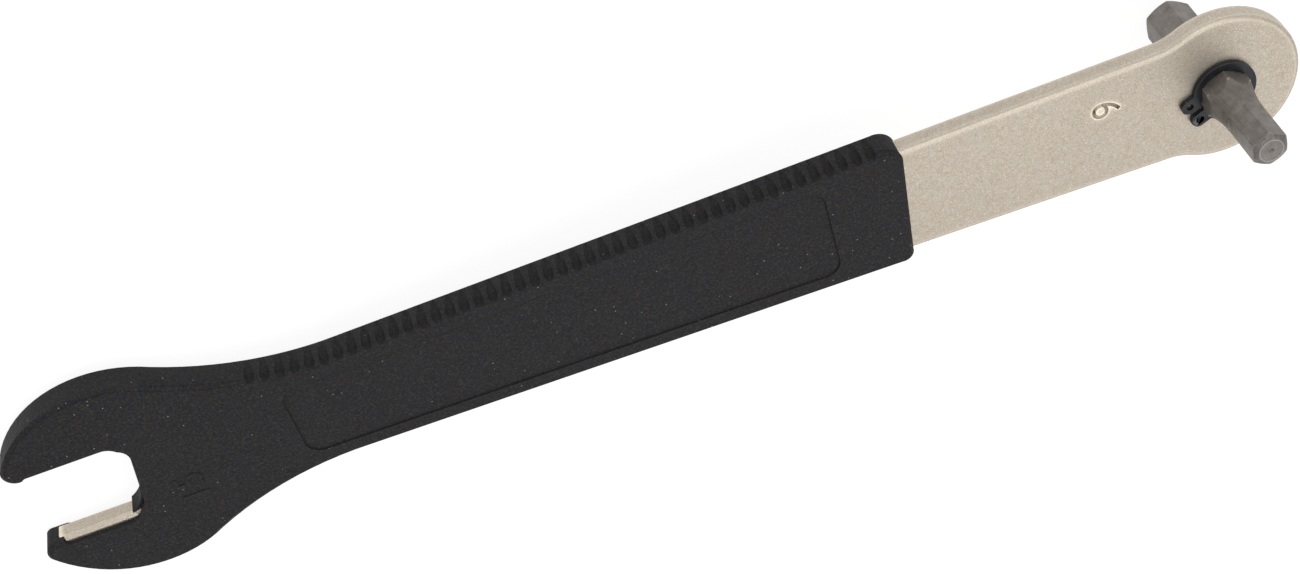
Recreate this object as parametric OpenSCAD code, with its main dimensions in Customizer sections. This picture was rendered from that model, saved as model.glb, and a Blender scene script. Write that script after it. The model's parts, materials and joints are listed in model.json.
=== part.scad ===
// Pedal wrench: a flat steel bar with an open jaw at one end and an eye at the other,
// a moulded grip over jaw and handle, and a double-ended hex pin held in the eye by two rings.
// The shapes are drawn lying flat, eye centre at the origin and jaw towards -X, and are then
// leaned over to lie on the 8 mm hex and the two jaw tips.

/* [Bar] */
// Distance from the eye's centre to the middle of the jaw head
reach = 199.3; // [150:0.1:260]
// Thickness of the steel
bar_t = 4; // [3:0.1:6]
// Width that the bar's straight sides would have at the eye's centre
bar_w_eye = 24.2; // [20:0.1:27]
// Width that the bar's straight sides would have at the middle of the jaw head
bar_w_jaw = 16.5; // [14:0.1:20]
// Radius of the eye
eye_r = 14.5; // [13.8:0.1:18]
// Radius of the blends between the eye and the bar
eye_blend_r = 10; // [4:0.5:20]

/* [Jaw] */
// Opening between the two flats of the jaw
jaw_opening = 15.3; // [14:0.1:17]
// Radius of the upper jaw's back in steel
upper_jaw_r = 19.4; // [18:0.1:22]
// Radius of the lower jaw's back in steel
lower_jaw_r = 18.9; // [17.5:0.1:21]
// How far the two jaws' centres are apart along the bar
jaw_stagger = 1.8; // [0:0.1:3]
// How far the steel slot runs past the middle of the head
slot_past_head = 3.1; // [0:0.1:6]
// Angle by which the bottom of the slot runs deeper beside the upper jaw
slot_slant = 10.6; // [0:0.1:15]
// Radius in the steel slot's corner beside the upper jaw
upper_slot_r = 2.9; // [2.9:0.1:4]
// Radius in the steel slot's corner beside the lower jaw
lower_slot_r = 3.9; // [3.9:0.1:5]
// Width of the chamfers along the two flats
flat_edge = 0.9; // [0.2:0.1:1.1]
// Distance from the middle of the head to the steel jaw tips
jaw_tip = 15.7; // [14:0.1:17]
// Radius of the blends between the jaw head and the handle, on the grip
neck_blend_r = 60; // [40:1:90]

/* [Grip] */
// Thickness of the moulding on each face of the bar
face_cover = 1.1; // [0.6:0.1:2]
// Thickness of the moulding along the bar's edges
edge_cover = 2; // [1.5:0.1:3]
// Width of the chamfers round the grip's outline
grip_edge = 0.8; // [0.2:0.1:1.2]
// Distance from the eye's centre to the end of the grip, on the middle line
grip_start = 57.9; // [40:0.1:80]
// Angle by which that end is out of square, longer on the grooved side
grip_end_slant = 4.2; // [0:0.1:8]
// Radius of the corner at that end on the grooved side
grooved_corner_r = 3.5; // [1:0.1:6]
// Radius of the corner at that end on the smooth side
smooth_corner_r = 2; // [1:0.1:6]
// Radius that rounds each covered jaw tip
tip_r = 2.4; // [1:0.1:3]
// How far the moulding stays behind the flats in the slot
slot_setback = 0.2; // [0.1:0.1:1]
// Thickness of the moulding on the bottom of the slot
slot_lining = 1.2; // [0.6:0.1:2]
// Radius in the lined slot's corner beside the upper jaw
upper_lining_r = 2.5; // [1.5:0.1:2.6]
// Radius in the lined slot's corner beside the lower jaw
lower_lining_r = 3.7; // [2:0.1:3.8]
// Width of bare steel beside each flat, on both faces
bare_strip = 1.2; // [0.8:0.1:2]
// How far the bare strips stay from the steel jaw tips
strip_from_tip = 0.8; // [0.4:0.1:2]
// How far the bare strips stay from the lined bottom of the slot
strip_from_lining = 0.9; // [0.2:0.1:4]
// Radius in the corners of the bare strips at the jaw tips
strip_corner_r = 1; // [0.5:0.1:1.3]
// Radius in the corners of the bare strips beside the slot's bottom
strip_end_r = 3; // [1:0.1:4]

/* [Finger grooves] */
// Distance between two grooves
groove_pitch = 2.5; // [2:0.1:4]
// Distance from the grip's end to the first groove
groove_from_end = 4.5; // [4:0.1:12]
// Distance from the last groove to the middle of the jaw head
groove_from_head = 25; // [20:0.5:60]
// Radius of the round-nosed groove
groove_r = 0.85; // [0.6:0.05:1.1]
// Depth of a groove at the front face
groove_depth = 0.9; // [0.6:0.1:1.6]
// Height of the smooth rim that the grooves leave along the back face
groove_rim = 0.4; // [0.2:0.1:1]

/* [Sunken panels] */
// Depth of the panel in each face of the grip
panel_depth = 0.3; // [0.2:0.05:0.6]
// Distance from the panel's long sides to the grip's edges
panel_inset = 3.1; // [2:0.1:5]
// Distance from the panel to the grip's end
panel_from_end = 14; // [6:0.5:30]
// Distance from the panel to the middle of the jaw head
panel_from_head = 30; // [25:0.5:60]
// Radius of the panel's corners
panel_corner_r = 3; // [1:0.1:5]

/* [Hex pin] */
// Width across flats of the long hex through the eye
hex_big = 8; // [7:0.5:9]
// Width across flats of the hex on the other end
hex_small = 6; // [5:0.5:7]
// How far each hex reaches out of the bar
hex_reach = 18.75; // [14:0.25:26]
// How far the big hex stands out on the small hex's side
shoulder = 3.1; // [2.5:0.1:5]
// Length of the turned neck from the big hex down to the small one
neck_length = 6; // [4:0.5:8]
// Length over which the small hex's flats run out into the neck
run_out = 0.8; // [0.4:0.1:1.5]
// Radius of the flat end of the small hex
small_face_r = 2.2; // [1.5:0.1:2.4]
// Radius of the flat end of the big hex
big_face_r = 3.2; // [2:0.1:3.4]
// Slope of the chamfers on both ends, measured from the end face
end_slope = 30; // [20:1:45]
// Diameter of the centre mark in the small hex's end
centre_mark_d = 0.8; // [0.4:0.1:1.5]
// Clearance between the hex and its hole in the eye, on each side
hex_clearance = 0.05; // [0.02:0.01:0.2]

/* [Retaining rings] */
// Thickness of a ring
ring_t = 1; // [0.6:0.1:1.2]
// Width of a ring's band opposite its gap
ring_band = 1.7; // [1.2:0.1:2.5]
// How much narrower the band is beside the lugs
ring_thinning = 0.4; // [0:0.1:0.8]
// Depth of a ring's groove, measured at the big hex's corners
ring_groove_depth = 0.32; // [0.15:0.01:0.5]
// Side play of a ring in its groove
ring_play = 0.1; // [0.02:0.01:0.3]
// Width of the gap between a ring's two lugs
lug_gap = 1.1; // [0.5:0.1:2]
// Length of the lugs, measured out from the groove
lug_reach = 3.6; // [3:0.1:5]
// Width of one lug
lug_w = 2.7; // [2:0.1:3.5]
// Diameter of the plier hole in each lug
lug_hole_d = 1.3; // [0.8:0.1:1.6]
// Direction of the front ring's gap, counted from +X
front_gap_angle = 205; // [0:5:355]
// Direction of the back ring's gap, counted from +X
back_gap_angle = 25; // [0:5:355]

/* [Hidden] */
$fn = 96;

// A cut runs this far past the faces that it opens
past = 1;

// The two halves of the plan overlap across the middle line by this much on each side
middle_overlap = 1;

// Arcs meet lines and other arcs at a slight angle, by crossing them this deep
bite = 0.03;

// Half the jaw opening, and the half widths that the moulding keeps round it
jaw_half = jaw_opening / 2;
lined_half = jaw_half + slot_setback;
window_half = jaw_half + bare_strip;

// Half thickness of the bar and of the grip, and of the grip's edges between their chamfers
bar_half = bar_t / 2;
grip_half = bar_half + face_cover;
edge_half = grip_half - grip_edge;

// The straight sides: half width at the eye's centre, and how much it grows for each mm towards it
side_at_eye = bar_w_eye / 2;
side_slope = (bar_w_eye - bar_w_jaw) / 2 / reach;
side_stretch = sqrt(1 + side_slope * side_slope);

// Middle of each jaw's back, along the bar
upper_x = -reach + jaw_stagger / 2;
lower_x = -reach - jaw_stagger / 2;

// Bottom of the steel slot, of the lined slot and of the bare strips, on the middle line
slot_x = -reach + slot_past_head;
lined_slot_x = slot_x - slot_lining / cos(slot_slant);
strip_end_x = lined_slot_x - strip_from_lining / cos(slot_slant);

// Ends of the steel jaws and of the bare strips, and a place clear of the jaw tips
tip_x = -reach - jaw_tip;
strip_x = tip_x + strip_from_tip;
slot_open_x = tip_x - 4 * tip_r;

// The big hex: its corners, the bottoms of its ring grooves, and its end on the small hex's side
big_corner_r = hex_big / sqrt(3);
small_corner_r = hex_small / sqrt(3);
groove_bottom_r = big_corner_r - ring_groove_depth;
ring_groove_w = ring_t + ring_play;
pin_end = bar_half + hex_reach;
shoulder_z = bar_half + shoulder;
neck_end_z = shoulder_z + neck_length;
shoulder_r = big_corner_r * 0.96;
neck_drop = shoulder_r - small_corner_r;
neck_r = (neck_length * neck_length + neck_drop * neck_drop) / (2 * neck_drop);

// The part lies on the edge of the big hex's end and on the flat back of the lower jaw's tip
grip_left_x = tip_centre(lower_x, lower_jaw_r + edge_cover).x - tip_r;
rest_x = grip_left_x + grip_edge;
lean = atan((pin_end - grip_half) / (-rest_x - big_face_r));
lift = -rest_x * sin(lean) + grip_half * cos(lean);
centring = (-grip_left_x - eye_r) / 2 * cos(lean);

// Half width of the bar's straight part at a place along it
function side(x, cover = 0) = side_at_eye + cover + side_slope * x;

// Middle of the circle of radius r that touches a straight side and a round end from outside
function blend_centre(round_x, round_r, r, cover, way) =
    let (
        k = side_at_eye + cover + r * side_stretch,
        b = side_slope * k - round_x,
        c = round_x * round_x + k * k - (round_r + r) * (round_r + r),
        a = side_stretch * side_stretch,
        x = (-b + way * sqrt(b * b - a * c)) / a
    )
    [x, side_slope * x + k];

// The grip's grooved edge at a place along it: how far out it is, and which way it faces
function grooved_edge(x) =
    let (c = blend_centre(upper_x, upper_jaw_r + edge_cover, neck_blend_r, edge_cover, 1))
    x > c.x + side_slope * neck_blend_r / side_stretch
        ? [side(x, edge_cover), atan(side_slope)]
        : [
            c.y - sqrt(neck_blend_r * neck_blend_r - (x - c.x) * (x - c.x)),
            asin((x - c.x) / neck_blend_r)
        ];

// Middle of the circle that rounds the corner between a straight side and the end
function end_corner(end_x, r, cover, angle) =
    let (
        from_end = end_x - r / cos(angle),
        y = (side(from_end, cover) - r * side_stretch) / (1 - side_slope * tan(angle))
    )
    [from_end + y * tan(angle), y];

// Middle of the circle in a corner of the slot, y_half being the slot's half width towards it
function slot_corner(bottom_x, y_half, r) =
    let (y = y_half - sign(y_half) * r)
    [bottom_x + y * tan(slot_slant) - r / cos(slot_slant), y];

// Middle of the circle that rounds a covered jaw tip
function tip_centre(jaw_x, jaw_back_r) =
    let (inner_r = jaw_back_r - tip_r + bite, y = lined_half + tip_r - bite)
    [jaw_x - sqrt(inner_r * inner_r - y * y), y];

// The corner between a straight side and a round end, before a circle hollows it out
module corner_fill(round_x, round_r, r, cover, way) {
    centre = blend_centre(round_x, round_r, r, cover, way);
    on_side = centre + [side_slope, -1] * r / side_stretch;
    share = round_r / (round_r + r);
    on_round = [round_x + (centre.x - round_x) * share, centre.y * share];
    polygon([
        [on_side.x + side_slope * (on_side.y + middle_overlap), -middle_overlap],
        on_side,
        on_round,
        [round_x, -middle_overlap]
    ]);
}

// The corner between a straight side and a round end, filled up to a concave arc
module blend(round_x, round_r, r, cover, way) {
    difference() {
        corner_fill(round_x, round_r, r, cover, way);
        translate(blend_centre(round_x, round_r, r, cover, way)) circle(r + bite);
    }
}

// One half of the steel's plan, above the middle line: jaw back, neck blend and straight side
module half_plan(jaw_x, jaw_r) {
    intersection() {
        translate([jaw_x, 0]) circle(jaw_r);
        translate([jaw_x - 2 * jaw_r, -middle_overlap]) square([4 * jaw_r, 2 * jaw_r]);
    }
    blend(jaw_x, jaw_r, neck_blend_r + edge_cover, 0, 1);
    polygon([
        [jaw_x, -middle_overlap],
        [jaw_x, side(jaw_x)],
        [0, side(0)],
        [0, -middle_overlap]
    ]);
}

// The slot seen from above, open at open_x, with a slanting bottom and rounded corners there
module slot_plan(open_x, bottom_x, half, upper_r, lower_r) {
    upper = slot_corner(bottom_x, half, upper_r);
    lower = slot_corner(bottom_x, -half, lower_r);
    to_bottom = [cos(slot_slant), -sin(slot_slant)];
    polygon([
        [open_x, half],
        [upper.x, half],
        upper + upper_r * to_bottom,
        lower + lower_r * to_bottom,
        [lower.x, -half],
        [open_x, -half]
    ]);
    translate(upper) circle(upper_r);
    translate(lower) circle(lower_r);
}

// Outline of the handle and of both jaws, up to the middle of the eye
module handle_plan() {
    difference() {
        union() {
            half_plan(upper_x, upper_jaw_r);
            mirror([0, 1]) half_plan(lower_x, lower_jaw_r);
            blend(0, eye_r, eye_blend_r, 0, -1);
            mirror([0, 1]) blend(0, eye_r, eye_blend_r, 0, -1);
        }
        slot_plan(slot_open_x, slot_x, jaw_half, upper_slot_r, lower_slot_r);
        translate([tip_x - reach, -reach]) square([reach, 2 * reach]);
    }
}

// What two chamfers take off a straight edge that runs along X from the origin, facing +Y
module edge_cuts(length, half_t, width) {
    rotate([90, 0, 90])
        linear_extrude(length)
            for (way = [-1, 1])
                polygon([
                    [-width - past, way * (half_t + past)],
                    [past, way * (half_t - width - past)],
                    [past, way * (half_t + past)]
                ]);
}

// What the chamfers take off the edges of the flat on the side of y_half, up to the slot's corner
module flat_cuts(y_half, corner_r) {
    end_x = slot_corner(slot_x, y_half, corner_r).x;
    length = end_x - tip_x + past;
    translate([y_half > 0 ? end_x : end_x - length, y_half, 0])
        rotate([0, 0, y_half > 0 ? 180 : 0])
            edge_cuts(length, bar_half, flat_edge);
}

// The bar with its jaw slot, and the eye without its hex hole
module bar_solid() {
    difference() {
        translate([0, 0, -bar_half]) {
            linear_extrude(bar_t) handle_plan();
            cylinder(r = eye_r, h = bar_t);
        }
        flat_cuts(jaw_half, upper_slot_r);
        flat_cuts(-jaw_half, lower_slot_r);
    }
}

module hex_prism(across, low, high, clearance = 0) {
    translate([0, 0, low])
        rotate(30)
            cylinder(r = across / sqrt(3) + clearance * 2 / sqrt(3), h = high - low, $fn = 6);
}

// Steel bar with the jaw's slot and the eye's hex hole
module steel_bar() {
    color([0.78, 0.74, 0.68])
        at_rest()
            difference() {
                bar_solid();
                hex_prism(hex_big, -bar_half - past, bar_half + past, hex_clearance);
            }
}

// A disc as thick as the grip, chamfered round both faces
module edged_disc(r) {
    rotate_extrude()
        polygon([
            [0, -grip_half],
            [r - grip_edge, -grip_half],
            [r, -edge_half],
            [r, edge_half],
            [r - grip_edge, grip_half],
            [0, grip_half]
        ]);
}

// The handle's half of the moulding, with a round corner at an end that leans by the angle given
module handle_half(jaw_x, corner_r, end_angle) {
    corner = end_corner(-grip_start, corner_r, edge_cover, end_angle);
    difference() {
        translate([0, 0, -grip_half])
            linear_extrude(2 * grip_half)
                polygon([
                    [jaw_x, -middle_overlap],
                    [jaw_x, side(jaw_x, edge_cover)],
                    corner + [-side_slope, 1] * corner_r / side_stretch,
                    corner,
                    corner + [cos(end_angle), -sin(end_angle)] * corner_r,
                    [-grip_start - middle_overlap * tan(end_angle), -middle_overlap]
                ]);
        translate([0, side(0, edge_cover), 0])
            rotate([0, 0, atan(side_slope)])
                translate([-2 * reach, 0, 0]) edge_cuts(2 * reach, grip_half, grip_edge);
        translate([-grip_start, 0, 0])
            rotate([0, 0, -90 - end_angle])
                translate([-bar_w_eye, 0, 0])
                    edge_cuts(2 * bar_w_eye, grip_half, grip_edge);
    }
    translate(corner + [bite, bite]) edged_disc(corner_r);
}

// The concave neck between a jaw's back and the handle, chamfered like the rest
module neck_half(jaw_x, jaw_back_r) {
    hollow_r = neck_blend_r + bite;
    difference() {
        translate([0, 0, -grip_half])
            linear_extrude(2 * grip_half)
                corner_fill(jaw_x, jaw_back_r, neck_blend_r, edge_cover, 1);
        translate(blend_centre(jaw_x, jaw_back_r, neck_blend_r, edge_cover, 1))
            rotate_extrude()
                polygon([
                    [0, -grip_half - past],
                    [hollow_r + grip_edge + past, -grip_half - past],
                    [hollow_r, -edge_half],
                    [hollow_r, edge_half],
                    [hollow_r + grip_edge + past, grip_half + past],
                    [0, grip_half + past]
                ]);
    }
}

// One half of the moulding, above the middle line, before the slot is cut
module half_moulding(jaw_x, jaw_r, corner_r, end_angle) {
    jaw_back_r = jaw_r + edge_cover;
    intersection() {
        translate([jaw_x, 0, 0]) edged_disc(jaw_back_r);
        translate([jaw_x - 2 * jaw_back_r, -middle_overlap, -2 * grip_half])
            cube([4 * jaw_back_r, 2 * jaw_back_r, 4 * grip_half]);
    }
    neck_half(jaw_x, jaw_back_r);
    handle_half(jaw_x, corner_r, end_angle);
}

// The moulding as a whole: it follows the steel at the thickness of its edge cover
module moulding() {
    half_moulding(upper_x, upper_jaw_r, grooved_corner_r, grip_end_slant);
    mirror([0, 1, 0])
        half_moulding(lower_x, lower_jaw_r, smooth_corner_r, -grip_end_slant);
}

// What rounds a covered jaw tip: the corner outside a chamfered disc, and the slot's edges beside it
module tip_cut(jaw_x, jaw_back_r) {
    centre = tip_centre(jaw_x, jaw_back_r);
    share = (jaw_back_r + past) / norm(centre - [jaw_x, 0]);
    outside = [jaw_x + (centre.x - jaw_x) * share, centre.y * share];
    far_x = outside.x - 3 * tip_r;
    difference() {
        translate([0, 0, -grip_half - past])
            linear_extrude(2 * (grip_half + past))
                polygon([
                    centre,
                    [centre.x, lined_half - past],
                    [far_x, lined_half - past],
                    [far_x, outside.y],
                    outside
                ]);
        translate(centre) edged_disc(tip_r);
    }
    translate([strip_x + strip_corner_r, lined_half, 0])
        rotate([0, 0, 180])
            edge_cuts(strip_x + strip_corner_r - centre.x + tip_r / 2, grip_half, grip_edge);
}

// What is cut away through both faces: the lined slot and the bare strips
module jaw_cut_plan() {
    slot_plan(slot_open_x, lined_slot_x, lined_half, upper_lining_r, lower_lining_r);
    window_plan();
}

// Where the moulding leaves the steel's faces bare beside the flats
module window_plan() {
    r = strip_corner_r;
    slot_plan(strip_x + r, strip_end_x, window_half, strip_end_r, strip_end_r);
    translate([strip_x, -window_half + r]) square([2 * r, 2 * (window_half - r)]);
    for (y = [-1, 1])
        translate([strip_x + r, y * (window_half - r)]) circle(r);
}

// One finger groove: a slanting cut, deepest at the front face and gone before the back face
module finger_groove(x) {
    edge = grooved_edge(x);
    rise = 2 * grip_half - groove_rim;
    slant = atan(groove_depth / rise);
    translate([x, edge[0], -grip_half + groove_rim])
        rotate([0, 0, edge[1]])
            translate([0, groove_r, 0])
                rotate([slant, 0, 0])
                    translate([0, 0, -past])
                        cylinder(r = groove_r, h = rise + 3 * past, $fn = 24);
}

module finger_grooves() {
    first = -grip_start - groove_from_end;
    last = -reach + groove_from_head;
    for (x = [first : -groove_pitch : last])
        finger_groove(x);
}

// Sunken panel with rounded corners, its long sides parallel to the grip's edges
module panel_plan() {
    r = panel_corner_r;
    inset = edge_cover - panel_inset;
    low_x = -reach + panel_from_head;
    high_x = -grip_start - panel_from_end;
    low = [low_x + r, side(low_x + r, inset) - r * side_stretch];
    high = [high_x - r, side(high_x - r, inset) - r * side_stretch];
    to_side = [-side_slope, 1] * r / side_stretch;
    for (way = [0, 1])
        mirror([0, way]) {
            polygon([
                [low_x, -middle_overlap],
                [low_x, low.y],
                low + to_side,
                high + to_side,
                [high_x, high.y],
                [high_x, -middle_overlap]
            ]);
            translate(low + [-bite, bite]) circle(r);
            translate(high + [bite, bite]) circle(r);
        }
}

// Moulded grip over the jaws, the neck and the handle
module grip() {
    color([0.13, 0.13, 0.13])
        at_rest()
            difference() {
                moulding();
                bar_solid();
                translate([0, 0, -grip_half - past])
                    linear_extrude(2 * (grip_half + past)) jaw_cut_plan();
                tip_cut(upper_x, upper_jaw_r + edge_cover);
                mirror([0, 1, 0]) tip_cut(lower_x, lower_jaw_r + edge_cover);
                for (z = [-grip_half - past, grip_half - panel_depth])
                    translate([0, 0, z]) linear_extrude(past + panel_depth) panel_plan();
                finger_grooves();
            }
}

// The end chamfer of a hex: what is left inside a cone that starts at the end face
module end_cone(face_r, end_z, way) {
    wide_r = 3 * face_r;
    cone_z = end_z - way * (wide_r - face_r) * tan(end_slope);
    rotate_extrude()
        polygon([
            [0, end_z],
            [face_r, end_z],
            [wide_r, cone_z],
            [wide_r, -end_z],
            [0, -end_z]
        ]);
}

// The turned neck: it comes in on a concave arc and lets the small hex's flats run out
module neck() {
    rotate_extrude()
        difference() {
            square([shoulder_r, neck_end_z + run_out]);
            translate([small_corner_r + neck_r, neck_end_z]) circle(neck_r, $fn = 360);
            translate([small_corner_r, neck_end_z]) square([neck_drop + past, run_out + past]);
            polygon([
                [small_corner_r + past, neck_end_z - past],
                [small_corner_r, neck_end_z],
                [hex_small / 2, neck_end_z + run_out],
                [hex_small / 2, neck_end_z + run_out + past],
                [small_corner_r + 2 * past, neck_end_z + run_out + past]
            ]);
        }
}

// A ring's groove round the big hex, its wall on the bar's side in line with the bar's face
module ring_groove() {
    translate([0, 0, bar_half])
        difference() {
            cylinder(r = big_corner_r + past, h = ring_groove_w);
            translate([0, 0, -past]) cylinder(r = groove_bottom_r, h = ring_groove_w + 2 * past);
        }
}

// Double-ended pin: big hex through the eye, turned neck, small hex
module hex_pin() {
    color([0.42, 0.42, 0.42])
        at_rest()
            difference() {
                union() {
                    intersection() {
                        hex_prism(hex_big, -pin_end, shoulder_z);
                        end_cone(big_face_r, -pin_end, -1);
                    }
                    intersection() {
                        hex_prism(hex_big, 0, neck_end_z + run_out + past);
                        neck();
                    }
                    intersection() {
                        hex_prism(hex_small, shoulder_z, pin_end);
                        end_cone(small_face_r, pin_end, 1);
                    }
                }
                ring_groove();
                mirror([0, 0, 1]) ring_groove();
                translate([0, 0, pin_end - centre_mark_d / 2])
                    cylinder(d1 = 0.2, d2 = centre_mark_d + 0.2, h = centre_mark_d / 2 + 0.01);
            }
}

// Flat shape of a retaining ring with its gap towards +X
module ring_plan() {
    outer_r = groove_bottom_r + ring_band - ring_thinning / 2;
    lug_y = lug_gap / 2 + lug_w / 2;
    lug_hole_r = groove_bottom_r + lug_reach / 2;
    difference() {
        union() {
            translate([-ring_thinning / 2, 0]) circle(outer_r);
            intersection() {
                translate([0, -lug_gap / 2 - lug_w])
                    square([groove_bottom_r + lug_reach, lug_gap + 2 * lug_w]);
                circle(groove_bottom_r + lug_reach);
            }
        }
        circle(groove_bottom_r);
        translate([0, -lug_gap / 2]) square([2 * outer_r + lug_reach, lug_gap]);
        for (y = [-lug_y, lug_y])
            translate([lug_hole_r, y]) circle(d = lug_hole_d);
    }
}

module ring_solid(gap_angle) {
    translate([0, 0, bar_half])
        rotate(gap_angle)
            linear_extrude(ring_t) ring_plan();
}

// Retaining ring on the small hex's side of the eye
module front_ring() {
    color([0.07, 0.07, 0.07]) at_rest() ring_solid(front_gap_angle);
}

// Retaining ring on the big hex's side of the eye
module rear_ring() {
    color([0.07, 0.07, 0.07]) at_rest() mirror([0, 0, 1]) ring_solid(back_gap_angle);
}

// Leans the flat wrench over until it lies on hex end and jaw tips, middle over the origin
module at_rest() {
    translate([centring, 0, lift])
        rotate([0, -lean, 0])
            children();
}

steel_bar();
grip();
hex_pin();
front_ring();
rear_ring();
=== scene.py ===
"""Looks of a pedal wrench: plated steel bar, moulded grip, hex pin, retaining rings and stage."""

import json
import math

import bpy
from mathutils import Matrix, Vector


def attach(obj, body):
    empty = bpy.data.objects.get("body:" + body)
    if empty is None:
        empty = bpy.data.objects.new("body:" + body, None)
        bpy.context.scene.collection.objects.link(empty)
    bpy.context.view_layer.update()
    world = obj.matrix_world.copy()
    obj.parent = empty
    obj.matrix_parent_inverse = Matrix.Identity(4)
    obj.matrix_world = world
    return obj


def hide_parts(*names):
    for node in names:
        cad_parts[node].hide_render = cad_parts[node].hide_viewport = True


bl_info = {
    "name": "Pedal wrench",
    "version": (1, 0, 0),
    "blender": (4, 5, 0),
    "location": "3D View > Sidebar > Pedal wrench",
    "description": "Finishes a pedal wrench lying on a pale floor",
    "category": "Object",
}

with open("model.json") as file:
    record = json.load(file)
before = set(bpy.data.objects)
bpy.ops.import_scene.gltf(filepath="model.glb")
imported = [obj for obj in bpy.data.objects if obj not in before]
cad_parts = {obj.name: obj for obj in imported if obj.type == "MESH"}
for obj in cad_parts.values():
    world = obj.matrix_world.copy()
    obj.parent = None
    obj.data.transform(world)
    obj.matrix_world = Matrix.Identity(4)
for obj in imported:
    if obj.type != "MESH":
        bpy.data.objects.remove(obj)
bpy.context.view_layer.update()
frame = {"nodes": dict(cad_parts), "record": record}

MM = 0.001
BODY = "root"
CLEAR = 0.00002


def mount_place(name):
    """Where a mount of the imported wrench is."""
    return next(Vector(m["pos_m"]) for m in frame["record"]["mounts"] if m["name"] == name)


# The flat wrench: origin at the eye's centre, X along the bar away from the jaw, Z along the pin
PIN_TOP = mount_place("hex_6mm")
PIN_BOTTOM = mount_place("hex_8mm")
EYE = (PIN_TOP + PIN_BOTTOM) / 2
UP = (PIN_TOP - PIN_BOTTOM).normalized()
ACROSS = Vector((0, 1, 0))
ALONG = ACROSS.cross(UP)
FLAT = Matrix.Translation(EYE) @ Matrix((ALONG, ACROSS, UP)).transposed().to_4x4()
FLAT_INVERSE = FLAT.inverted()

# Half thicknesses, and lengths on the flat wrench
BAR_HALF = 2.0 * MM
GRIP_HALF = 3.1 * MM
EYE_HOLE = 6.0 * MM
JAW_INSIDE = 10.5 * MM
JAW_BOTTOM = -190.0 * MM
THROUGH = 20 * MM

# The rings: reach of the band, middles of the lugs' ends from their direction, and that direction
RING_REACH = 6.9 * MM
LUG_MIDDLE = Vector((6.35, 1.9)) * MM
LUG_DIRECTION = {"front_ring": math.radians(205), "rear_ring": math.radians(25)}

# Middles of the numbers, and how deep the raised one is rooted in the grip
HEX_NUMBER_PLACE = (-20.9 * MM, 4.4 * MM)
JAW_NUMBER_PLACE = (-189.9 * MM, -5.2 * MM)
NUMBER_ROOT = 0.1 * MM

# The corner web: low and high corners of its block, and middle of the bar that hollows it
WEB_LOW = Vector((-201.6, -8.0, -2.2)) * MM
WEB_HIGH = Vector((-197.6, -3.2, 1.6)) * MM
WEB_ROUND = (-203.9 * MM, -2.6 * MM)

# The back moulding's edge beside the lower flat, and where its setback fades round the jaw's tip
WINDOW_X = (-213.3 * MM, -197 * MM)
WINDOW_Y = (-9.0 * MM, -8.0 * MM)
TIP_TOP = -7.8 * MM
TIP_FADE_X = (-218 * MM, -216 * MM)
TIP_FADE_Y = (-11 * MM, -9 * MM)

# The studio: strength of the world, and name, place, size and power of each light
WORLD_STRENGTH = 0.55
LIGHTS = (
    ("broad_light", (0.3, -0.95, 1.0), (1.6, 1.5), 4.4),
    ("overhead_light", (0.2, 0, 1.1), (0.9, 0.9), 2.5),
    ("edge_light", (0.02, 0.9, 0.9), (1.4, 0.6), 4.2),
)


class WrenchFinish(bpy.types.PropertyGroup):
    """Colours of the wrench's four finishes"""

    nickel: bpy.props.FloatVectorProperty(
        name="Nickel", description="Colour of the plated bar",
        subtype="COLOR", size=3, min=0, max=1, default=(0.56, 0.50, 0.42),
    )
    plastic: bpy.props.FloatVectorProperty(
        name="Grip plastic", description="Colour of the moulded grip",
        subtype="COLOR", size=3, min=0, max=1, default=(0.0215, 0.021, 0.022),
    )
    pin_grey: bpy.props.FloatVectorProperty(
        name="Pin grey", description="Colour of the hex pin's phosphate",
        subtype="COLOR", size=3, min=0, max=1, default=(0.21, 0.19, 0.174),
    )
    ring_black: bpy.props.FloatVectorProperty(
        name="Ring black", description="Colour of the retaining rings",
        subtype="COLOR", size=3, min=0, max=1, default=(0.012, 0.013, 0.016),
    )


class WrenchEdges(bpy.types.PropertyGroup):
    """Widths of the rounded edges"""

    bar_edge: bpy.props.FloatProperty(
        name="Bar edge", description="Width of the bar's tumbled outer edges",
        unit="LENGTH", min=0, default=0.9 * MM,
    )
    flat_edge: bpy.props.FloatProperty(
        name="Flat edge", description="Width of the bar's edges in the jaw and round the hex hole",
        unit="LENGTH", min=0, default=0.12 * MM,
    )
    grip_edge: bpy.props.FloatProperty(
        name="Grip edge", description="Width of the grip's softened edges",
        unit="LENGTH", min=0, default=0.12 * MM,
    )
    pin_edge: bpy.props.FloatProperty(
        name="Pin edge", description="Width of the pin's worn edges",
        unit="LENGTH", min=0, default=0.12 * MM,
    )
    ring_edge: bpy.props.FloatProperty(
        name="Ring edge", description="Width of the rings' stamped edges",
        unit="LENGTH", min=0, default=0.1 * MM,
    )
    lug_end: bpy.props.FloatProperty(
        name="Lug end", description="Radius of the round ends of the rings' lugs",
        unit="LENGTH", min=0, default=1.35 * MM,
    )
    web_radius: bpy.props.FloatProperty(
        name="Web radius",
        description="Radius of the moulding over the slot's corner at the lower flat",
        unit="LENGTH", min=0, default=5.55 * MM,
    )
    window_setback: bpy.props.FloatProperty(
        name="Window setback",
        description="How far the back moulding stands back from the lower flat",
        unit="LENGTH", min=0, default=0.65 * MM,
    )


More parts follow.
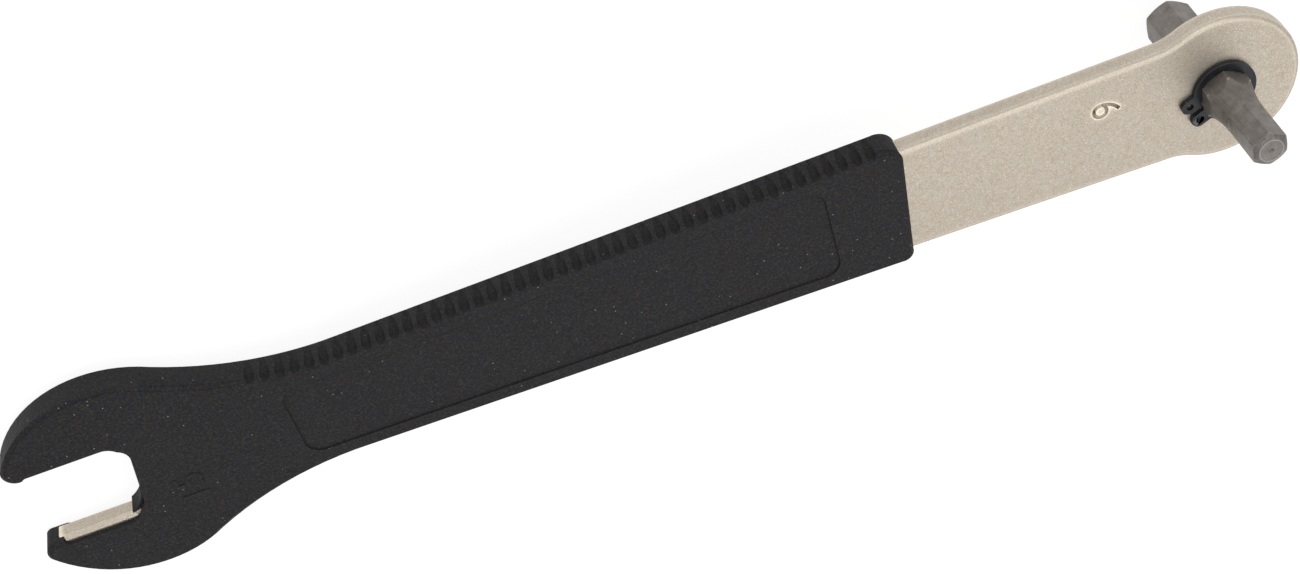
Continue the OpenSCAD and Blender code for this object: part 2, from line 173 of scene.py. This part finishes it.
class WrenchNumbers(bpy.types.PropertyGroup):
    """The two plain size numbers"""

    hex_number: bpy.props.StringProperty(
        name="Hex number", description="Number stamped in the bar beside the thinner hex",
        default="6",
    )
    hex_number_height: bpy.props.FloatProperty(
        name="Hex number height", description="Height of the stamped number",
        unit="LENGTH", min=0, default=5.2 * MM,
    )
    stamp_depth: bpy.props.FloatProperty(
        name="Stamp depth", description="Depth of the stamped number",
        unit="LENGTH", min=0, default=0.45 * MM,
    )
    jaw_number: bpy.props.StringProperty(
        name="Jaw number", description="Number raised on the grip beside the jaw", default="15",
    )
    jaw_number_height: bpy.props.FloatProperty(
        name="Jaw number height", description="Height of the raised number",
        unit="LENGTH", min=0, default=5.0 * MM,
    )
    number_edge: bpy.props.FloatProperty(
        name="Number edge", description="Width of the raised number's softened edges",
        unit="LENGTH", min=0, default=0.06 * MM,
    )
    raise_height: bpy.props.FloatProperty(
        name="Raise", description="How far the raised number stands out of the grip",
        unit="LENGTH", min=0, default=0.2 * MM,
    )


class WrenchStage(bpy.types.PropertyGroup):
    """Camera and floor"""

    lens: bpy.props.FloatProperty(
        name="Lens", description="Focal length in millimetres on a 36 mm wide sensor", default=56.2,
    )
    camera_place: bpy.props.FloatVectorProperty(
        name="Camera place", description="Place of the camera over the flat wrench",
        subtype="XYZ", unit="LENGTH", size=3, default=(-0.1084, 0.2326, 0.2603),
    )
    aim: bpy.props.FloatVectorProperty(
        name="Aim", description="Point of the bar's middle plane that the camera looks at",
        subtype="XYZ", unit="LENGTH", size=3, default=(-0.09815, -0.00154, 0),
    )
    roll: bpy.props.FloatProperty(
        name="Roll", description="Turn of the camera about its own line of sight",
        subtype="ANGLE", default=math.radians(158.446),
    )
    shift: bpy.props.FloatVectorProperty(
        name="Shift", description="Shift of the picture, in widths of the picture",
        size=2, default=(-0.028, -0.0063),
    )
    floor_size: bpy.props.FloatProperty(
        name="Floor size", description="Side of the square floor", unit="LENGTH", default=8.0,
    )


def copy_of_node(node, name):
    """A new piece from a CAD node's mesh, merged, with flat areas freed of their inner edges."""
    bpy.ops.object.select_all(action="DESELECT")
    piece = bpy.data.objects.new(name, frame["nodes"][node].data.copy())
    bpy.context.scene.collection.objects.link(piece)
    piece.data.materials.clear()
    piece.select_set(True)
    bpy.context.view_layer.objects.active = piece
    bpy.ops.object.mode_set(mode="EDIT")
    bpy.ops.mesh.select_all(action="SELECT")
    bpy.ops.mesh.remove_doubles(threshold=0.002 * MM)
    bpy.ops.mesh.dissolve_limited(angle_limit=math.radians(0.6))
    bpy.ops.object.mode_set(mode="OBJECT")
    return piece


def make_active(piece):
    bpy.ops.object.select_all(action="DESELECT")
    piece.select_set(True)
    bpy.context.view_layer.objects.active = piece


def bevel_edges(piece, width, segments=3, sharper_than=32, where=None):
    """Rounds the sharp edges of a piece, all of them or those that a test of both ends picks."""
    make_active(piece)
    bpy.ops.object.modifier_add(type="BEVEL")
    bevel = piece.modifiers[-1]
    bevel.width = width
    bevel.segments = segments
    bevel.use_clamp_overlap = where is not None
    if where is None:
        bevel.limit_method = "ANGLE"
        bevel.angle_limit = math.radians(sharper_than)
    else:
        bevel.limit_method = "WEIGHT"
        weights = piece.data.attributes.new("bevel_weight_edge", "FLOAT", "EDGE")
        flat = [FLAT_INVERSE @ vertex.co for vertex in piece.data.vertices]
        for edge in piece.data.edges:
            picked = where(*(flat[v] for v in edge.vertices))
            weights.data[edge.index].value = 1.0 if picked else 0.0
    bpy.ops.object.modifier_apply(modifier=bevel.name)
    if where is not None:
        piece.data.attributes.remove(piece.data.attributes["bevel_weight_edge"])


def combine(piece, other, operation):
    """Cuts, joins or intersects a piece with another one, which is used up."""
    make_active(piece)
    bpy.ops.object.modifier_add(type="BOOLEAN")
    step = piece.modifiers[-1]
    step.operation = operation
    step.solver = "EXACT"
    step.object = other
    bpy.ops.object.modifier_apply(modifier=step.name)
    bpy.data.objects.remove(other)


def round_bar(middle, radius):
    """A round bar along the pin's direction, through both faces of the flat wrench."""
    bpy.ops.object.select_all(action="DESELECT")
    bpy.ops.mesh.primitive_cylinder_add(vertices=64, radius=radius, depth=THROUGH)
    bar = bpy.context.object
    bar.data.transform(FLAT @ Matrix.Translation((*middle, 0)))
    return bar


def move_points(piece, share, step):
    """Moves each point of a piece by its share of a step, both on the flat wrench."""
    turn = FLAT.to_3x3()
    for vertex in piece.data.vertices:
        vertex.co += turn @ Vector(step) * share(FLAT_INVERSE @ vertex.co)


def shade_soft(piece, sharper_than=32):
    """Shades a piece smooth, with its large faces flat and its chamfers and bevels turned round."""
    make_active(piece)
    bpy.ops.object.shade_smooth_by_angle(angle=math.radians(sharper_than))
    bpy.ops.object.modifier_add(type="WEIGHTED_NORMAL")
    piece.modifiers[-1].keep_sharp = True
    bpy.ops.object.modifier_apply(modifier=piece.modifiers[-1].name)


def number_solid(name, text, height, low, high, middle, turn):
    """A number as a thin solid on the flat wrench, from low to high along the pin's direction."""
    bpy.ops.object.select_all(action="DESELECT")
    bpy.ops.object.text_add()
    number = bpy.context.object
    number.name = name
    number.data.body = text
    number.data.align_x = "CENTER"
    number.data.extrude = 0.5
    bpy.ops.object.convert(target="MESH")
    number = bpy.context.object
    tall = [vertex.co.y for vertex in number.data.vertices]
    wide = [vertex.co.x for vertex in number.data.vertices]
    share = height / (max(tall) - min(tall))
    centre = Vector(((max(wide) + min(wide)) / 2, (max(tall) + min(tall)) / 2, 0))
    number.data.transform(Matrix.Translation(-centre))
    number.data.transform(Matrix.Diagonal((share, share, high - low, 1)))
    number.data.transform(
        FLAT @ Matrix.Translation((*middle, (low + high) / 2)) @ Matrix.Rotation(turn, 4, "Z")
    )
    number.matrix_world = Matrix.Identity(4)
    bpy.ops.object.mode_set(mode="EDIT")
    bpy.ops.mesh.select_all(action="SELECT")
    bpy.ops.mesh.remove_doubles(threshold=0.002 * MM)
    bpy.ops.mesh.normals_make_consistent(inside=False)
    bpy.ops.object.mode_set(mode="OBJECT")
    return number


def finish_piece(piece, node, material):
    """Gives a piece its material and lets it stand for a CAD node."""
    piece.data.materials.clear()
    piece.data.materials.append(material)
    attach(piece, BODY)
    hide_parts(node)


def finish_moulding(piece):
    """Gives a loose piece of the moulding the grip's own material."""
    piece.data.materials.clear()
    piece.data.materials.append(bpy.data.objects["moulded_grip"].active_material)
    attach(piece, BODY)


class MaterialBoard:
    """A material whose nodes are added and joined by name."""

    def __init__(self, name):
        self.material = bpy.data.materials.new(name)
        self.material.use_nodes = True
        self.tree = self.material.node_tree
        self.tree.nodes.clear()
        self.place = self.add("ShaderNodeTexCoord").outputs["Object"]

    def add(self, kind, inputs=None, **settings):
        node = self.tree.nodes.new(kind)
        for name, value in settings.items():
            setattr(node, name, value)
        for name, value in (inputs or {}).items():
            self.put(node.inputs[name], value)
        return node

    def put(self, socket, value):
        if isinstance(value, bpy.types.NodeSocket):
            self.tree.links.new(value, socket)
        else:
            socket.default_value = value

    def noise(self, size, detail=2.0, roughness=0.5, stretch=(1, 1, 1)):
        """Grey noise whose blotches are about size metres wide."""
        mapping = self.add("ShaderNodeMapping", {"Vector": self.place, "Scale": stretch})
        texture = self.add(
            "ShaderNodeTexNoise",
            {
                "Vector": mapping.outputs[0], "Scale": 1 / size,
                "Detail": detail, "Roughness": roughness,
            },
        )
        return texture.outputs["Fac"]

    def specks(self, spacing, radius, share):
        """White dots of one radius, kept in a share of the cells."""
        cells = self.add(
            "ShaderNodeTexVoronoi", {"Vector": self.place, "Scale": 1 / spacing, "Randomness": 1.0}
        )
        near = self.steps(cells.outputs["Distance"], radius / spacing, radius / spacing * 0.6)
        lot = self.add("ShaderNodeSeparateColor", {"Color": cells.outputs["Color"]})
        kept = self.steps(lot.outputs[0], share, share * 0.98)
        return self.math("MULTIPLY", near, kept)

    def steps(self, value, low, high, low_out=0.0, high_out=1.0):
        """Maps low to low_out and high to high_out, smooth between and level beyond."""
        node = self.add(
            "ShaderNodeMapRange",
            {
                "Value": value, "From Min": low, "From Max": high,
                "To Min": low_out, "To Max": high_out,
            },
            interpolation_type="SMOOTHSTEP",
        )
        return node.outputs["Result"]

    def closeness(self, reach, inside):
        """How open a place is within reach metres, looking out of the piece or into it."""
        node = self.add(
            "ShaderNodeAmbientOcclusion", {"Distance": reach},
            samples=8, only_local=True, inside=inside,
        )
        return node.outputs["AO"]

    def hollows(self, reach):
        """0 deep in a hollow about as wide as reach metres, 1 in the open."""
        return self.closeness(reach, inside=False)

    def rims(self, reach):
        """1 on a sharp outer edge, 0 further than reach metres from one."""
        return self.steps(self.closeness(reach, inside=True), 0.6, 0.95, 1.0, 0.0)

    def distance(self, point):
        """Metres from a point."""
        node = self.add("ShaderNodeVectorMath", operation="DISTANCE")
        self.put(node.inputs[0], self.place)
        self.put(node.inputs[1], point)
        return node.outputs["Value"]

    def math(self, operation, *values):
        node = self.add("ShaderNodeMath", operation=operation)
        for socket, value in zip(node.inputs, values):
            self.put(socket, value)
        return node.outputs[0]

    def mix(self, share, first, second):
        """A colour between two."""
        node = self.add("ShaderNodeMix", data_type="RGBA")
        self.put(node.inputs["Factor"], share)
        for socket, value in ((node.inputs[6], first), (node.inputs[7], second)):
            if not isinstance(value, bpy.types.NodeSocket):
                value = (*value, 1.0)
            self.put(socket, value)
        return node.outputs[2]

    def bump(self, height, depth, below=None):
        """Normals of a height map, depth metres deep."""
        node = self.add("ShaderNodeBump", {"Height": height, "Distance": depth, "Strength": 1.0})
        if below is not None:
            self.put(node.inputs["Normal"], below)
        return node.outputs["Normal"]

    def finish(self, color, roughness, normal, metallic=0.0, **shader):
        sockets = {
            "Base Color": color, "Roughness": roughness, "Normal": normal, "Metallic": metallic,
        }
        sockets.update({name.replace("_", " "): value for name, value in shader.items()})
        surface = self.add("ShaderNodeBsdfPrincipled", sockets)
        output = self.add("ShaderNodeOutputMaterial", {"Surface": surface.outputs[0]})
        output.is_active_output = True
        return self.material


def shade(color, factor):
    """A colour made lighter or darker."""
    return tuple(min(1.0, c * factor) for c in color)


def nickel_material():
    """Dull nickel plate: fine grain, clouds, dark pits, bright painted highlights along its outer
    edges and dark painted shade in the stamp and other hollows.
    """
    base = tuple(bpy.context.scene.wrench_finish.nickel)
    board = MaterialBoard("nickel_steel")
    clouds = board.noise(14 * MM, 3, 0.5)
    mottle = board.noise(0.9 * MM, 4, 0.65)
    grain = board.noise(0.22 * MM, 3, 0.7)
    glints = board.noise(0.3 * MM, 2, 0.6, stretch=(1.1, 0.9, 1.0))
    pits = board.specks(1.5 * MM, 0.11 * MM, 0.35)
    warm = (base[0] * 0.92, base[1] * 0.84, base[2] * 0.72)
    color = board.mix(board.steps(clouds, 0.35, 0.7), shade(base, 0.98), shade(base, 1.02))
    color = board.mix(board.steps(mottle, 0.42, 0.7, 0, 0.55), color, warm)
    color = board.mix(board.steps(grain, 0.45, 0.66, 0, 0.7), color, shade(base, 0.58))
    color = board.mix(board.steps(glints, 0.56, 0.72, 0, 0.7), color, shade(base, 1.4))
    color = board.mix(board.math("MULTIPLY", pits, 0.6), color, shade(base, 0.28))
    # Painted highlight: a bright band along the bar's sharp outer edges, broken by the mottle,
    # stands in for light caught by the edge bevels.
    worn = board.math("MULTIPLY", board.rims(1.4 * MM), board.steps(mottle, 0.3, 0.6, 0.5, 1))
    color = board.mix(worn, color, shade(base, 1.75))
    # Painted shade: the stamped number and the bar's other narrow hollows are painted dark brown.
    stamped = (base[0] * 0.2, base[1] * 0.17, base[2] * 0.13)
    color = board.mix(board.steps(board.hollows(0.5 * MM), 0.45, 0.95), stamped, color)
    roughness = board.steps(mottle, 0.3, 0.7, 0.42, 0.52)
    normal = board.bump(grain, 0.03 * MM)
    return board.finish(color, roughness, normal, metallic=0.85)


def plastic_material():
    """Charcoal moulded plastic with a fine eroded texture, a little dust, painted highlights on its
    sharp edges and painted shade in its grooves and hollows.
    """
    base = tuple(bpy.context.scene.wrench_finish.plastic)
    board = MaterialBoard("grip_plastic")
    smears = board.noise(12 * MM, 4, 0.6)
    tint = board.noise(0.8 * MM, 3, 0.6)
    grain = board.noise(0.4 * MM, 4, 0.75)
    dust = board.specks(1.5 * MM, 0.14 * MM, 0.4)
    cool = (base[0] * 0.9, base[1] * 0.97, base[2] * 1.22)
    warm = (base[0] * 1.16, base[1] * 1.03, base[2] * 0.8)
    color = board.mix(board.steps(tint, 0.38, 0.62), cool, warm)
    color = board.mix(board.steps(smears, 0.4, 0.7, 0, 0.5), color, shade(base, 1.35))
    color = board.mix(board.steps(grain, 0.3, 0.5, 0.75, 0), color, shade(base, 0.35))
    color = board.mix(board.steps(grain, 0.5, 0.7, 0, 0.8), color, shade(base, 2.6))
    color = board.mix(board.math("MULTIPLY", dust, 0.85), color, (0.3, 0.28, 0.24))
    # Painted shade: a dark brown for the grooves, the panel's edges and the moulding's other
    # hollows.
    hollow = (base[0] * 0.22, base[1] * 0.17, base[2] * 0.08)
    # Painted highlight: the grip's sharp outer edges, including the edges of the lands between the
    # grooves, are painted lighter.
    color = board.mix(board.math("MULTIPLY", board.rims(0.3 * MM), 0.25), color, shade(base, 3))
    # Painted shade: the grooves and other hollows darken to that brown.
    color = board.mix(board.steps(board.hollows(1.8 * MM), 0.55, 0.97), hollow, color)
    normal = board.bump(grain, 0.06 * MM)
    return board.finish(
        color, board.steps(smears, 0.3, 0.7, 0.6, 0.7), normal, Specular_IOR_Level=0.14
    )


def pin_material():
    """Dull grey phosphate on a drawn hex, with a turned line and a centre mark on its end."""
    base = tuple(bpy.context.scene.wrench_finish.pin_grey)
    board = MaterialBoard("pin_steel")
    clouds = board.noise(2.2 * MM, 4, 0.6)
    streaks = board.noise(0.5 * MM, 3, 0.6, stretch=(1, 1, 0.15))
    grain = board.noise(0.18 * MM, 3, 0.6)
    color = board.mix(board.steps(clouds, 0.3, 0.7), shade(base, 0.75), shade(base, 1.2))
    color = board.mix(board.steps(streaks, 0.4, 0.7, 0, 0.4), color, shade(base, 0.6))
    color = board.mix(board.steps(grain, 0.4, 0.8, 0, 0.4), color, shade(base, 1.5))
    # Lighter along the sharp edges: partly wear of the phosphate, partly a painted highlight for
    # the light arcs of the scallops.
    color = board.mix(board.math("MULTIPLY", board.rims(0.25 * MM), 0.85), color, (0.42, 0.41, 0.4))
    from_end = board.distance(PIN_TOP)
    turned = board.math("COMPARE", from_end, 2.15 * MM, 0.12 * MM)
    color = board.mix(board.math("MULTIPLY", turned, 0.45), color, (0.45, 0.44, 0.43))
    color = board.mix(board.steps(from_end, 0.1 * MM, 0.4 * MM), shade(base, 0.3), color)
    normal = board.bump(grain, 0.015 * MM)
    return board.finish(color, 0.45, normal, metallic=0.5)


def ring_material():
    """Black oxide on stamped spring steel, with painted glints along its sharp edges."""
    base = tuple(bpy.context.scene.wrench_finish.ring_black)
    board = MaterialBoard("ring_steel")
    clouds = board.noise(1.5 * MM, 3, 0.6)
    color = board.mix(board.steps(clouds, 0.35, 0.7), base, shade(base, 1.8))
    # Painted glints: the rings' sharp outer edges are painted a lighter grey.
    edge = board.math("MULTIPLY", board.rims(0.15 * MM), 0.8)
    color = board.mix(edge, color, (0.12, 0.125, 0.14))
    normal = board.bump(board.noise(0.2 * MM, 2, 0.6), 0.01 * MM)
    return board.finish(color, 0.33, normal, metallic=0.4)


def stamp_number(bar, numbers):
    """Sinks the thinner hex's number in the bar's front face."""
    punch = number_solid(
        "punch", numbers.hex_number, numbers.hex_number_height,
        BAR_HALF - numbers.stamp_depth, BAR_HALF + numbers.stamp_depth,
        HEX_NUMBER_PLACE, math.radians(-90),
    )
    combine(bar, punch, "DIFFERENCE")


def on_outer_outline(start, end):
    """Whether an edge of the bar runs along its outline on a face, outside the jaw and the hole."""
    for point in (start, end):
        if abs(abs(point.z) - BAR_HALF) > CLEAR or point.xy.length < EYE_HOLE:
            return False
    in_jaw = (abs(start.y) + abs(end.y)) / 2 < JAW_INSIDE and start.x < JAW_BOTTOM
    return not in_jaw and abs(start.z - end.z) < CLEAR


def round_lugs(ring, direction, radius):
    """Rounds the outer ends of a ring's two lugs, on both sides of the gap."""
    outline = round_bar((0, 0), RING_REACH)
    for side in (-1, 1):
        middle = Matrix.Rotation(direction, 2) @ Vector((LUG_MIDDLE.x, side * LUG_MIDDLE.y))
        combine(outline, round_bar(middle, radius), "UNION")
    combine(ring, outline, "INTERSECT")


def on_hex_edge(start, end):
    """Whether an edge of the pin is a long corner of a hex."""
    return (start.xy - end.xy).length < CLEAR and abs(start.z - end.z) > 2 * MM


def rising(value, limits):
    """0 up to the first limit, 1 from the second on, even between."""
    return min(1, max(0, (value - limits[0]) / (limits[1] - limits[0])))


def on_back_window(point):
    """1 on the back moulding's edge beside the lower flat, fading to 0 round the jaw's tip."""
    if point.z > -BAR_HALF + CLEAR or point.x > WINDOW_X[1] or point.y > TIP_TOP:
        return 0
    if point.x > WINDOW_X[0]:
        return 1 if WINDOW_Y[0] < point.y < WINDOW_Y[1] else 0
    return rising(point.x, TIP_FADE_X) * rising(point.y, TIP_FADE_Y)


class WRENCH_OT_steel_bar(bpy.types.Operator):
    """Finishes the plated bar with rounded edges"""

    bl_idname = "wrench.steel_bar"
    bl_label = "Steel bar"

    def execute(self, context):
        edges = context.scene.wrench_edges
        bar = copy_of_node("steel_bar", "plated_bar")
        bevel_edges(bar, edges.bar_edge, segments=4, where=on_outer_outline)
        bevel_edges(bar, edges.flat_edge, segments=2, sharper_than=40)
        stamp_number(bar, context.scene.wrench_numbers)
        shade_soft(bar)
        finish_piece(bar, "steel_bar", nickel_material())
        return {"FINISHED"}


class WRENCH_OT_grip(bpy.types.Operator):
    """Finishes the moulded grip"""

    bl_idname = "wrench.grip"
    bl_label = "Grip"

    def execute(self, context):
        edges = context.scene.wrench_edges
        grip = copy_of_node("grip", "moulded_grip")
        move_points(grip, on_back_window, (0, -edges.window_setback, 0))
        bevel_edges(grip, edges.grip_edge, segments=2, sharper_than=55)
        shade_soft(grip, sharper_than=50)
        finish_piece(grip, "grip", plastic_material())
        return {"FINISHED"}


class WRENCH_OT_corner_web(bpy.types.Operator):
    """Covers the slot's corner at the lower flat with a rounded web of the moulding"""

    bl_idname = "wrench.corner_web"
    bl_label = "Corner web"

    def execute(self, context):
        bpy.ops.object.select_all(action="DESELECT")
        bpy.ops.mesh.primitive_cube_add(size=1)
        web = context.object
        web.name = "corner_web"
        size = Matrix.Diagonal((*(WEB_HIGH - WEB_LOW), 1))
        web.data.transform(FLAT @ Matrix.Translation((WEB_LOW + WEB_HIGH) / 2) @ size)
        radius = context.scene.wrench_edges.web_radius
        combine(web, round_bar(WEB_ROUND, radius), "DIFFERENCE")
        shade_soft(web)
        finish_moulding(web)
        return {"FINISHED"}


class WRENCH_OT_jaw_number(bpy.types.Operator):
    """Raises the jaw's size number on the grip"""

    bl_idname = "wrench.jaw_number"
    bl_label = "Jaw number"

    def execute(self, context):
        numbers = context.scene.wrench_numbers
        number = number_solid(
            "jaw_number", numbers.jaw_number, numbers.jaw_number_height,
            GRIP_HALF - NUMBER_ROOT, GRIP_HALF + numbers.raise_height,
            JAW_NUMBER_PLACE, math.radians(90),
        )
        bevel_edges(number, numbers.number_edge, segments=2, sharper_than=40)
        shade_soft(number)
        finish_moulding(number)
        return {"FINISHED"}


class WRENCH_OT_hex_pin(bpy.types.Operator):
    """Finishes the double-ended hex pin"""

    bl_idname = "wrench.hex_pin"
    bl_label = "Hex pin"

    def execute(self, context):
        pin = copy_of_node("hex_pin", "double_hex")
        pin_edge = context.scene.wrench_edges.pin_edge
        bevel_edges(pin, pin_edge, segments=2, where=on_hex_edge)
        shade_soft(pin, sharper_than=20)
        finish_piece(pin, "hex_pin", pin_material())
        return {"FINISHED"}


class WRENCH_OT_retaining_rings(bpy.types.Operator):
    """Finishes both retaining rings"""

    bl_idname = "wrench.retaining_rings"
    bl_label = "Retaining rings"

    def execute(self, context):
        edges = context.scene.wrench_edges
        material = ring_material()
        for node in LUG_DIRECTION:
            ring = copy_of_node(node, node + "_stamped")
            round_lugs(ring, LUG_DIRECTION[node], edges.lug_end)
            bevel_edges(ring, edges.ring_edge, segments=2)
            shade_soft(ring)
            finish_piece(ring, node, material)
        return {"FINISHED"}


def floor_material():
    """A white floor that keeps the wrench's soft shadow."""
    board = MaterialBoard("floor_white")
    paper = board.add("ShaderNodeBsdfDiffuse", {"Color": (0.8, 0.8, 0.8, 1)})
    shadow = board.add("ShaderNodeBsdfDiffuse", {"Color": (0.2, 0.2, 0.2, 1)})
    glow = board.add("ShaderNodeEmission", {"Color": (1, 1, 1, 1), "Strength": 0.89})
    both = board.add("ShaderNodeAddShader")
    board.put(both.inputs[0], shadow.outputs[0])
    board.put(both.inputs[1], glow.outputs[0])
    rays = board.add("ShaderNodeLightPath")
    seen = board.math("MAXIMUM", rays.outputs["Is Camera Ray"], rays.outputs["Is Glossy Ray"])
    mixed = board.add("ShaderNodeMixShader", {"Fac": seen})
    board.put(mixed.inputs[1], paper.outputs[0])
    board.put(mixed.inputs[2], both.outputs[0])
    board.add("ShaderNodeOutputMaterial", {"Surface": mixed.outputs[0]})
    return board.material


def area_light(name, place, size, power):
    """A soft light that faces the origin."""
    bpy.ops.object.light_add(type="AREA", location=place)
    light = bpy.context.object
    light.name = name
    light.data.shape = "RECTANGLE"
    light.data.size, light.data.size_y = size
    light.data.energy = power
    light.rotation_euler = (-Vector(place)).to_track_quat("-Z", "Y").to_euler()


class WRENCH_OT_stage(bpy.types.Operator):
    """Adds the pale floor, the lights and the camera"""

    bl_idname = "wrench.stage"
    bl_label = "Stage"

    def execute(self, context):
        stage = context.scene.wrench_stage
        bpy.ops.object.select_all(action="DESELECT")
        bpy.ops.mesh.primitive_plane_add(size=stage.floor_size)
        floor = context.object
        floor.name = "floor"
        floor.data.materials.append(floor_material())

        world = bpy.data.worlds.new("studio")
        world.use_nodes = True
        background = world.node_tree.nodes["Background"]
        background.inputs["Color"].default_value = (1, 1, 1, 1)
        background.inputs["Strength"].default_value = WORLD_STRENGTH
        context.scene.world = world
        for light in LIGHTS:
            area_light(*light)

        bpy.ops.object.camera_add()
        camera = context.object
        camera.data.lens = stage.lens
        camera.data.sensor_width = 36
        camera.data.shift_x, camera.data.shift_y = stage.shift
        camera.data.clip_start = 0.01
        place = Vector(stage.camera_place)
        turn = (Vector(stage.aim) - place).to_track_quat("-Z", "Y").to_matrix().to_4x4()
        camera.matrix_world = (
            FLAT @ Matrix.Translation(place) @ turn @ Matrix.Rotation(stage.roll, 4, "Z")
        )
        context.scene.camera = camera
        context.scene.view_settings.view_transform = "Standard"
        return {"FINISHED"}


class WRENCH_PT_panel(bpy.types.Panel):
    """Lists the wrench's pieces"""

    bl_idname = "WRENCH_PT_panel"
    bl_label = "Pedal wrench"
    bl_space_type = "VIEW_3D"
    bl_region_type = "UI"
    bl_category = "Pedal wrench"

    def draw(self, context):
        for operator in OPERATORS:
            self.layout.operator(operator.bl_idname)
        for group in GROUPS:
            for name in GROUPS[group].__annotations__:
                self.layout.prop(getattr(context.scene, group), name)


OPERATORS = (
    WRENCH_OT_steel_bar,
    WRENCH_OT_grip,
    WRENCH_OT_corner_web,
    WRENCH_OT_jaw_number,
    WRENCH_OT_hex_pin,
    WRENCH_OT_retaining_rings,
    WRENCH_OT_stage,
)
GROUPS = {
    "wrench_finish": WrenchFinish,
    "wrench_edges": WrenchEdges,
    "wrench_numbers": WrenchNumbers,
    "wrench_stage": WrenchStage,
}


def register():
    for group in GROUPS.values():
        bpy.utils.register_class(group)
    for name, group in GROUPS.items():
        setattr(bpy.types.Scene, name, bpy.props.PointerProperty(type=group))
    for item in (*OPERATORS, WRENCH_PT_panel):
        bpy.utils.register_class(item)


def unregister():
    for item in (WRENCH_PT_panel, *reversed(OPERATORS)):
        bpy.utils.unregister_class(item)
    for name in GROUPS:
        delattr(bpy.types.Scene, name)
    for group in GROUPS.values():
        bpy.utils.unregister_class(group)


def main():
    register()
    for operator in OPERATORS:
        group, name = operator.bl_idname.split(".")
        getattr(getattr(bpy.ops, group), name)()


if __name__ == "__main__":
    main()
